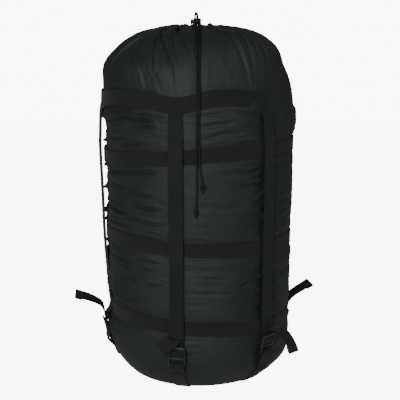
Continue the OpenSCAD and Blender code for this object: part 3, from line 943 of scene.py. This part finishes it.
def ring_bar(points, radius, sides=8, reference=(0, 0, 1)):
    """Verts and faces of a closed ring of round section through points. No stretch of the
    ring may run along the reference direction."""
    points = np.array(points, float)
    count = len(points)
    verts = []
    for i, p in enumerate(points):
        line = unit(points[(i + 1) % count] - points[i - 1])
        flat = unit(np.cross(line, reference))
        verts += circle(p, radius * flat, radius * np.cross(flat, line), sides)
    return verts, loop_faces(count, sides)


# The middle of the cord lock.
LOCK_AT = np.array([-2.5, -20.0, 645.5])


def cord_lock(materials):
    """The barrel with its grip rings, and the plunger's button."""
    barrel = [(-6.5, 4.35), (-6.5, 5.1), (-6.1, 5.5), (-4.6, 5.5), (-4.2, 5.1), (-3.6, 5.1),
              (-3.2, 5.5), (3.2, 5.5), (3.6, 5.1), (4.2, 5.1), (4.6, 5.5), (6.4, 5.45),
              (7.1, 5.0), (7.5, 4.0), (7.55, 1.5)]
    verts, faces = lathe(barrel)
    piece = new_object("cord_lock_barrel_moulding", np.array(verts) + LOCK_AT, faces,
                       materials["plastic"])
    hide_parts("cord_lock_barrel")
    turns = 2 * math.pi * np.arange(32) / 32
    hole = [(1.2 + 3.7 * math.cos(a), 3.895 * math.sin(a)) for a in turns]
    verts, faces = joined([ring_bar([(x, y, z) for x, y in hole], 0.55) for z in (5.3, -5.3)])
    rims = new_object("cord_lock_rims", np.array(verts) + LOCK_AT, faces, materials["plastic"])
    button = [(-9.6, 4.9), (-9.9, 5.15), (-10.9, 5.15), (-11.35, 4.7), (-11.5, 3.8), (-11.2, 2.6),
              (-11.1, 0.8)]
    stem = [(-9.8, 4.15), (-6.4, 4.15), (-5.2, 4.15)]
    verts, faces = joined([lathe(button), lathe(stem)])
    plunger = new_object("cord_lock_button", np.array(verts) + LOCK_AT, faces, materials["plastic"])
    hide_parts("cord_lock_plunger")
    for part, body in ((piece, "cord_lock"), (rims, "cord_lock"), (plunger, "lock_plunger")):
        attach(part, body)


# --- Drawcord ---

CORD_D = 3.0
# The two knots, and the routes of the two loose ends from the cord lock down to them.
KNOT_A = (7.6, -177.5, 369)
KNOT_B = (-4, -177.5, 328)
CORD_A = [
    (-2.5, -21.7, 653), (-2.5, -22.6, 656.2), (-2.4, -25, 658.6), (-2.2, -28.2, 659.5),
    (-1.8, -31.6, 658.6), (-1.2, -36, 654.6), (-0.8, -40.6, 649.8), (-0.4, -46, 645.8),
    (-0.1, -53, 643.2), (0.2, -64, 641.8), (0.5, -80, 639.6), (0.8, -97, 635), (1, -113, 629),
    (1.1, -128, 621), (1.2, -141, 610.6), (1.3, -152, 598), (1.3, -161, 583), (1.3, -168, 566),
    (1.2, -173.4, 548), (1.2, -177.4, 532), (1.2, -178.4, 515), (1.2, -178.4, 498),
    (1.1, -178, 480), (1.1, -177.6, 460), (1.2, -177.4, 440), (1.7, -177.4, 420),
    (3.2, -177.4, 400), (5.2, -177.4, 386), KNOT_A
]
CORD_B = [
    (-2.5, -18.3, 653), (-2.9, -19.2, 656.6), (-4, -22, 659.6), (-5, -26, 660.8),
    (-5.6, -30.4, 659.8), (-6, -35, 656.4), (-6, -40, 651.4), (-5.8, -46, 646.8),
    (-5.2, -54, 643.4), (-4.4, -66, 641.6), (-3.8, -80, 639.6), (-3.3, -97, 635),
    (-2.9, -113, 629), (-2.7, -128, 621), (-2.5, -141, 610.6), (-2.4, -152, 598),
    (-2.3, -161, 583), (-2.3, -168, 566), (-2.2, -173.4, 548), (-2.2, -177.4, 532),
    (-2.2, -178.4, 515), (-2.3, -178.4, 498), (-2.4, -178, 480), (-2.6, -177.6, 460),
    (-2.7, -177.4, 440), (-2.7, -177.4, 420), (-2.5, -177.4, 400), (-2.4, -177.4, 380),
    (-2.8, -177.4, 360), (-3.4, -177.4, 344), KNOT_B
]


def knot(name, at, material):
    """An overhand knot: a trefoil of cord pulled tight, with the cut end below it."""
    sides = 10
    loops = []
    for t in 2 * math.pi * np.arange(72) / 72:
        r = 2.35 + 1.15 * math.cos(3 * t)
        loops.append((r * math.cos(2 * t), 1.3 * math.sin(3 * t), 1.15 * r * math.sin(2 * t)))
    tied = ring_bar(loops, CORD_D / 2 * 0.92, sides, reference=(0.3, 1, 0.2))
    stub = []
    for *place, share in ((0, 0, -1, 1), (0.2, -0.2, -4, 1), (0.1, -0.3, -8, 1), (0, -0.3, -9, 0.75)):
        r = CORD_D / 2 * share
        stub += circle(np.array(place), np.array([r, 0, 0]), np.array([0, r, 0]), sides)
    downwards = [face[::-1] for face in capped_faces(4, sides)]
    verts, faces = joined([tied, (stub, downwards)])
    piece = new_object(name, np.array(verts) + at, faces, material, verts)
    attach(piece, "cap")
    return piece


def drawcord(materials):
    """The two loose ends with their knots, and the two strands that rise out of the neck."""
    for letter, route, knot_at in (("a", CORD_A, KNOT_A), ("b", CORD_B, KNOT_B)):
        path, along = smooth_path(route, 2.5)
        piece = tube(f"drawcord_end_{letter}", path, CORD_D / 2, materials["cord"])
        tied = knot(f"drawcord_knot_tied_{letter}", knot_at, materials["cord"])
        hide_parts(f"drawcord_knot_{letter}")
        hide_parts(f"drawcord_tail_{letter}")
        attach(piece, "cap")
    for side in (-1.7, 1.7):
        rise = [(-2.5, -20 + side, h) for h in (632, 640, 646, 653.2)]
        name = "drawcord_rise_front" if side < 0 else "drawcord_rise_back"
        piece = tube(name, smooth_path(rise, 2.5)[0], CORD_D / 2, materials["cord"])
        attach(piece, "cap")
        if side < 0:
            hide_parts("drawcord_ring")


# --- Small sewn pieces ---

def label(materials):
    """A blank woven label, a little raised, sewn down around its edge."""
    width, height, thick = 31.0, 10.0, 0.75
    low_z, centre_x, radius = 283.5, 7.0, 171.9
    nx, nz = 25, 9
    verts, cloth, faces = [], [], []
    for layer, lift in ((0, thick), (1, 0.0)):
        for j in range(nz):
            for i in range(nx):
                s, t = i / (nx - 1) * 2 - 1, j / (nz - 1) * 2 - 1
                edge = max(abs(s), abs(t)) > 0.99
                x = centre_x + s * width / 2
                r = radius + (lift * (0.35 if edge else 1)) + 0.12 * math.sin(5 * s + 2 * t)
                a = x / radius
                verts.append((r * math.sin(a), -r * math.cos(a), low_z + height / 2 + t * height / 2))
                cloth.append((s * width / 2, t * height / 2, layer))
    size = nx * nz
    for j in range(nz - 1):
        for i in range(nx - 1):
            a = j * nx + i
            faces.append((a, a + 1, a + nx + 1, a + nx))
            faces.append((size + a, size + a + nx, size + a + nx + 1, size + a + 1))
    rim = (list(range(nx)) + [nx * (j + 1) - 1 for j in range(1, nz)]
           + [nx * nz - 2 - i for i in range(nx - 1)] + [nx * (nz - 2 - j) for j in range(nz - 2)])
    for k in range(len(rim)):
        a, b = rim[k], rim[(k + 1) % len(rim)]
        faces.append((a, size + a, size + b, b))
    piece = new_object("label_blank", verts, faces, materials["label"], cloth)
    rows = []
    level = [(x, z, True) for x in np.arange(-13.5, 13.6, 3) for z in (1.4, height - 1.4)]
    upright = [(x, z, False) for x in (-14, 14) for z in (3.2, 6.6)]
    for x, z, is_level in level + upright:
        angle = math.degrees((centre_x + x) / radius)
        out = outward(angle)
        line = sideways(angle) if is_level else UP
        rows.append((out * (radius + thick) + UP * (low_z + z), line, out))
    thread = stitches("label_stitches", rows, materials["thread"], length=2.0, radius=0.22)
    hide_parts("label_patch")
    for part in (piece, thread):
        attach(part, "lower_band")


def back_seam(materials):
    """The seam down the back, folded flat and sewn with two rows of stitches."""
    heights = np.arange(137, 499.1, 3.0)
    across = [-7, -6.4, -3.2, 0, 3.2, 6.4, 7]
    lift = [0.0, 0.9, 1.0, 1.1, 1.0, 0.9, 0.0]
    verts, cloth, faces, rows = [], [], [], []
    curve, along, _ = outline_curve(2.1)
    wall = np.array(OUTLINE[8:15])
    for h in heights:
        k = int(np.argmin(np.abs(curve[:, 1] - h)))
        base = float(np.interp(h, wall[:, 1], wall[:, 0]))
        push = fabric_push(np.array([180.0]), np.array([base]), np.array([h]), np.array([along[k]]))[0]
        r = base + push
        for s, up in zip(across, lift):
            verts.append((-s, math.sqrt(r * r - s * s) + up, h))
            cloth.append((s, h, 0))
        for s in (-4.6, 4.6):
            rows.append((np.array([-s, math.sqrt(r * r - s * s) + 1.0, h]), UP, outward(180)))
    width = len(across)
    for i in range(len(heights) - 1):
        for k in range(width - 1):
            a = i * width + k
            faces.append((a, a + width, a + width + 1, a + 1))
    piece = new_object("back_seam_fold", verts, faces, materials["fabric"], cloth)
    thicken(piece, 0.7)
    thread = stitches("back_seam_stitches", rows, materials["thread"], length=2.1, radius=0.25)
    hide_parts("back_seam")
    for part in (piece, thread):
        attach(part, "base")
        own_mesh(part)


def base_patch(materials):
    """The round patch that covers the inner ends of the anchor straps."""
    low_z, high_z = 0.1, 1.5
    outline = [(30, 0.05), (50, 0.1), (55, 0.2), (56, 0.7), (55.4, 1.4), (50, 1.5)]
    steps = 96
    verts, cloth = [], []
    for r, z in outline:
        verts += circle(UP * z, np.array([0, -r, 0]), np.array([r, 0, 0]), steps)
        cloth += circle(np.zeros(3), np.array([0, r, 0]), np.array([r, 0, 0]), steps)
    faces = sleeve_faces(len(outline), steps)
    verts += [UP * low_z, UP * high_z]
    cloth += [np.zeros(3), np.zeros(3)]
    bottom, top, last = len(verts) - 2, len(verts) - 1, len(verts) - 2 - steps
    for k in range(steps):
        faces.append((bottom, (k + 1) % steps, k))
        faces.append((top, last + k, last + (k + 1) % steps))
    piece = new_object("base_patch_fabric", verts, faces, materials["fabric"], cloth)
    sewn_r = 52.5
    rows = [(outward(angle) * sewn_r + UP * 0.25, sideways(angle), -UP)
            for angle in np.arange(0, 360, 3.6)]
    thread = stitches("base_patch_stitches", rows, materials["thread"], length=2.1, radius=0.22)
    for part in (piece, thread):
        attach(part, "base")
    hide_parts("base_patch")


def band_stitches(name, body, materials):
    """Two rows of stitches along a band, near its edges."""
    lift = WEB_T / 2 + 0.05
    rows = []
    for angle in np.arange(-180, 180, 1.25):
        places = band_points(name, angle, [(-0.86, lift), (0.86, lift)])
        rows += [(place, sideways(angle), outward(angle)) for place in places]
    thread = stitches(f"{name}_stitches", rows, materials["thread"])
    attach(thread, body)


# --- Materials ---

class Nodes:
    """A small helper that adds and links shader nodes."""

    def __init__(self, name):
        self.material = bpy.data.materials.new(name)
        self.material.use_nodes = True
        self.tree = self.material.node_tree
        self.shader = self.tree.nodes["Principled BSDF"]

    def link(self, a, b):
        self.tree.links.new(a, b)

    def math(self, operation, *values):
        """A math node's result for values that are numbers or other nodes' outputs."""
        made = self.tree.nodes.new("ShaderNodeMath")
        made.operation = operation
        for socket, value in zip(made.inputs, values):
            if isinstance(value, (int, float)):
                socket.default_value = value
            else:
                self.link(value, socket)
        return made.outputs[0]

    def scaled(self, value, factor, base):
        """value times factor, plus base."""
        return self.math("ADD", self.math("MULTIPLY", value, factor), base)

    def wave(self, place, length):
        """A sine along place, in millimetres, that repeats after length."""
        return self.math("SINE", self.math("MULTIPLY", place, 2 * math.pi / length))

    def noise(self, scale, detail, roughness=0.5):
        """Noise from 0 to 1, with scale cells to the metre."""
        made = self.tree.nodes.new("ShaderNodeTexNoise")
        made.inputs["Scale"].default_value = scale
        made.inputs["Detail"].default_value = detail
        made.inputs["Roughness"].default_value = roughness
        place = self.tree.nodes.new("ShaderNodeTexCoord").outputs["Object"]
        self.link(place, made.inputs["Vector"])
        return made.outputs["Fac"]

    def cloth(self):
        """The three values of the cloth attribute. On webbing and fabric these are the place
        across and along the weave, in millimetres, and the side."""
        made = self.tree.nodes.new("ShaderNodeAttribute")
        made.attribute_name = "cloth"
        parts = self.tree.nodes.new("ShaderNodeSeparateXYZ")
        self.link(made.outputs["Vector"], parts.inputs[0])
        return parts.outputs[0], parts.outputs[1], parts.outputs[2]

    def ramp(self, factor, stops):
        """A colour from stops of (factor, colour)."""
        made = self.tree.nodes.new("ShaderNodeValToRGB")
        ramp = made.color_ramp
        while len(ramp.elements) < len(stops):
            ramp.elements.new(0.5)
        for element, (place, colour) in zip(ramp.elements, stops):
            element.position = place
            element.color = (*colour, 1)
        self.link(factor, made.inputs[0])
        return made.outputs[0]

    def bump(self, height, distance, strength, below=None):
        """A normal from height, in metres, on top of the normal below."""
        made = self.tree.nodes.new("ShaderNodeBump")
        made.inputs["Strength"].default_value = strength
        made.inputs["Distance"].default_value = distance
        self.link(height, made.inputs["Height"])
        if below is not None:
            self.link(below, made.inputs["Normal"])
        return made.outputs[0]

    def finish(self, colour, rough, normal, **constants):
        """Links the three and sets the shader's other inputs, named with underscores."""
        for name, value in constants.items():
            self.shader.inputs[name.replace("_", " ")].default_value = value
        self.link(colour, self.shader.inputs["Base Color"])
        self.link(rough, self.shader.inputs["Roughness"])
        self.link(normal, self.shader.inputs["Normal"])
        return self.material


def fabric_material():
    """Coated nylon: satin, finely woven, creased, a little paler where it has rubbed, with painted
    shade in its crumples.
    """
    n = Nodes("nylon_fabric")
    across, along, _ = n.cloth()
    thread = 0.62
    weave = n.math("MULTIPLY", n.wave(across, thread), n.wave(along, thread))
    crumple = n.noise(95, 4, 0.6)
    soft = n.noise(28, 3)
    patches = n.noise(9, 3, 0.55)
    # The crumples' own height goes into the colour too: painted shade, darker in their hollows and
    # paler on their crests. The broad patches are random tone.
    tone_and_painted_shade = n.scaled(patches, 0.7, n.math("MULTIPLY", crumple, 0.3))
    colour = n.ramp(tone_and_painted_shade, [(0.3, (0.0172, 0.0222, 0.0228)), (0.52, (0.0232, 0.0294, 0.0300)),
                            (0.72, (0.030, 0.0372, 0.0374))])
    rough = n.scaled(soft, 0.2, 0.46)
    first = n.bump(soft, 0.0022, 0.55)
    second = n.bump(crumple, 0.0009, 0.6, first)
    normal = n.bump(weave, 0.00006, 0.5, second)
    return n.finish(colour, rough, normal, Specular_IOR_Level=0.34, Sheen_Weight=0.05,
                    Sheen_Roughness=0.45)


def webbing_material():
    """Webbing: dull, with ribs along it and slanting picks across it, and painted shade in the hollows
    between them.
    """
    n = Nodes("woven_webbing")
    across, along, _ = n.cloth()
    ribs = n.math("ABSOLUTE", n.wave(across, 2.05))
    picks = n.wave(n.scaled(ribs, 0.9, along), 1.35)
    height = n.scaled(ribs, 0.6, n.math("MULTIPLY", picks, 0.4))
    fuzz = n.noise(420, 3, 0.6)
    wear = n.noise(16, 3, 0.55)
    # The ribs' and picks' height goes into the colour: painted shade, darker in the hollows of the
    # weave. The wear and fuzz are random tone.
    tone_and_painted_shade = n.scaled(height, 0.16, n.scaled(wear, 0.5, n.math("MULTIPLY", fuzz, 0.24)))
    colour = n.ramp(tone_and_painted_shade, [(0.28, (0.0074, 0.0092, 0.0100)), (0.5, (0.0108, 0.0133, 0.0143)),
                            (0.78, (0.0168, 0.0203, 0.0213))])
    rough = n.scaled(fuzz, 0.2, 0.58)
    first = n.bump(height, 0.00035, 0.7)
    normal = n.bump(fuzz, 0.0003, 0.5, first)
    return n.finish(colour, rough, normal, Specular_IOR_Level=0.35, Sheen_Weight=0.1,
                    Sheen_Roughness=0.5)


def cord_material():
    """Braided cord: strands that cross in both directions around it, with painted shade between them.
    """
    n = Nodes("braided_cord")
    cosine, sine, along = n.cloth()
    around = n.math("MULTIPLY", n.math("ARCTAN2", sine, cosine), 4)
    one = n.math("SINE", n.scaled(along, 2.6, around))
    two = n.math("SINE", n.scaled(along, -2.6, around))
    height = n.math("MAXIMUM", one, two)
    fuzz = n.noise(500, 3, 0.6)
    # The strands' height goes into the colour: painted shade, darker between the strands. The fuzz is
    # random tone.
    tone_and_painted_shade = n.scaled(height, 0.3, n.math("MULTIPLY", fuzz, 0.6))
    colour = n.ramp(tone_and_painted_shade, [(0.2, (0.0025, 0.0028, 0.003)), (0.7, (0.009, 0.0095, 0.01))])
    rough = n.scaled(fuzz, 0.2, 0.5)
    normal = n.bump(height, 0.0003, 0.8)
    return n.finish(colour, rough, normal)


def plastic_material():
    """Black acetal with a fine moulded grain, smoother where it has been handled."""
    n = Nodes("moulded_acetal")
    grain = n.noise(900, 2)
    smear = n.noise(60, 3)
    colour = n.ramp(smear, [(0.35, (0.022, 0.0225, 0.023)), (0.7, (0.036, 0.0365, 0.037))])
    rough = n.scaled(smear, 0.2, 0.24)
    normal = n.bump(grain, 0.00008, 0.35)
    return n.finish(colour, rough, normal, Specular_IOR_Level=0.55)


def thread_material():
    """Bonded thread, twisted, a shade paler than the webbing, and darker in the hollows of its twist.
    """
    n = Nodes("bonded_thread")
    twist = n.noise(700, 2)
    # One noise gives both the colour and the bump: partly random tone and partly painted shade, darker
    # in the bump's hollows.
    colour = n.ramp(twist, [(0.3, (0.014, 0.015, 0.016)), (0.7, (0.03, 0.032, 0.034))])
    rough = n.scaled(twist, 0.2, 0.4)
    normal = n.bump(twist, 0.0002, 0.5)
    return n.finish(colour, rough, normal)


def spring_material():
    """Drawn spring steel: bright, with fine lines and a little dull oil."""
    n = Nodes("spring_steel")
    lines = n.noise(1400, 2)
    oil = n.noise(240, 3)
    colour = n.ramp(oil, [(0.3, (0.34, 0.34, 0.35)), (0.7, (0.5, 0.5, 0.5))])
    rough = n.scaled(oil, 0.25, 0.22)
    normal = n.bump(lines, 0.00004, 0.4)
    return n.finish(colour, rough, normal, Metallic=1)


def label_material():
    """A plain woven satin label, with painted shade between its weft threads."""
    n = Nodes("satin_label")
    _, along, _ = n.cloth()
    weft = n.wave(along, 0.5)
    cloudy = n.noise(120, 3)
    # The weft's height goes into the colour a little: painted shade between the threads, on top of
    # cloudy random tone.
    tone_and_painted_shade = n.scaled(weft, 0.08, cloudy)
    colour = n.ramp(tone_and_painted_shade, [(0.3, (0.02, 0.022, 0.023)), (0.7, (0.033, 0.036, 0.037))])
    rough = n.scaled(cloudy, 0.15, 0.35)
    normal = n.bump(weft, 0.00006, 0.5)
    return n.finish(colour, rough, normal)


# --- Studio ---

# Brightness of the surroundings: what lights the sack, and what only the camera sees.
FILL_LIGHT = 0.04
FLOOR_GLOW = 8.2
BACKDROP_LIGHT = 9.0
# Each light's name, place, size and power.
LIGHTS = [
    ("key", (-0.8, -2.8, 1.2), 1.3, 45), ("front_right", (1.5, -1.4, 2.1), 1.2, 10),
    ("left_rim", (-2.2, -0.4, 0.8), 0.6, 0.8), ("right_rim", (2.2, 0.4, 0.9), 0.6, 1.0)
]


def floor_material():
    """Pale paper, brightened for the camera alone so that it doesn't light the sack."""
    n = Nodes("studio_floor")
    faint = n.noise(3, 2)
    colour = n.ramp(faint, [(0.3, (0.86, 0.86, 0.86)), (0.7, (0.88, 0.88, 0.88))])
    rough = n.scaled(faint, 0.05, 0.6)
    normal = n.bump(faint, 0.00001, 0.1)
    seen = n.tree.nodes.new("ShaderNodeLightPath").outputs["Is Camera Ray"]
    n.link(n.math("MULTIPLY", seen, FLOOR_GLOW), n.shader.inputs["Emission Strength"])
    return n.finish(colour, rough, normal, Emission_Color=(1, 1, 1, 1))


def studio():
    """The floor, a backdrop that is bright for the camera alone, and the lights."""
    bpy.ops.mesh.primitive_plane_add(size=12, location=(0, 0, 0))
    floor = bpy.context.object
    floor.name = "studio_floor"
    floor.data.materials.append(floor_material())
    world = bpy.data.worlds.new("studio")
    bpy.context.scene.world = world
    world.use_nodes = True
    tree = world.node_tree
    fill = tree.nodes["Background"]
    fill.inputs["Color"].default_value = (1, 1, 1, 1)
    fill.inputs["Strength"].default_value = FILL_LIGHT
    behind = tree.nodes.new("ShaderNodeBackground")
    behind.inputs["Color"].default_value = (1, 1, 1, 1)
    behind.inputs["Strength"].default_value = BACKDROP_LIGHT
    seen = tree.nodes.new("ShaderNodeLightPath")
    either = tree.nodes.new("ShaderNodeMixShader")
    tree.links.new(seen.outputs["Is Camera Ray"], either.inputs[0])
    tree.links.new(fill.outputs[0], either.inputs[1])
    tree.links.new(behind.outputs[0], either.inputs[2])
    tree.links.new(either.outputs[0], tree.nodes["World Output"].inputs["Surface"])
    for name, place, size, power in LIGHTS:
        data = bpy.data.lights.new(name, "AREA")
        data.shape = "SQUARE"
        data.size = size
        data.energy = power
        light = bpy.data.objects.new(name, data)
        light.location = place
        aim = Vector((0, 0, 0.35)) - Vector(place)
        light.rotation_euler = aim.to_track_quat("-Z", "Y").to_euler()
        bpy.context.collection.objects.link(light)


def cover_fabric(materials):
    """The fabric pieces, each on its body and in place of its CAD nodes."""
    homes = {
        "base_cup_fabric": ("base", ["base_cup"]),
        "body_panel_fabric": ("base", ["body_panel"]),
        "cap_fabric": ("cap", ["collar", "neck_casing"])
    }
    fabric = build_fabric(materials)
    for name, (body, nodes) in homes.items():
        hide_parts(*nodes)
        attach(fabric[name], body)
    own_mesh(fabric["body_panel_fabric"])


def colour_spring(materials):
    """The spring is shown as the CAD has it, in steel."""
    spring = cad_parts["cord_lock_spring"]
    for k in range(len(spring.data.materials)):
        spring.data.materials[k] = materials["spring"]


def main():
    make_camera()
    materials = {
        "fabric": fabric_material(), "webbing": webbing_material(), "cord": cord_material(),
        "plastic": plastic_material(), "thread": thread_material(), "label": label_material(),
        "spring": spring_material()
    }
    drawcord(materials)
    cover_fabric(materials)
    for name, body in (("top_band", "cap"), ("upper_band", "upper_band"),
                       ("lower_band", "lower_band"), ("base_band", "base")):
        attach(band(name, materials), body)
        band_stitches(name, body, materials)
    for i in range(STRAPS):
        strap_run(i, materials)
        strap_thread(i, materials)
        strap_end(i, materials)
        anchor_strap(i, materials)
    place_ladder_locks(materials)
    cord_lock(materials)
    label(materials)
    back_seam(materials)
    base_patch(materials)
    colour_spring(materials)
    studio()


main()
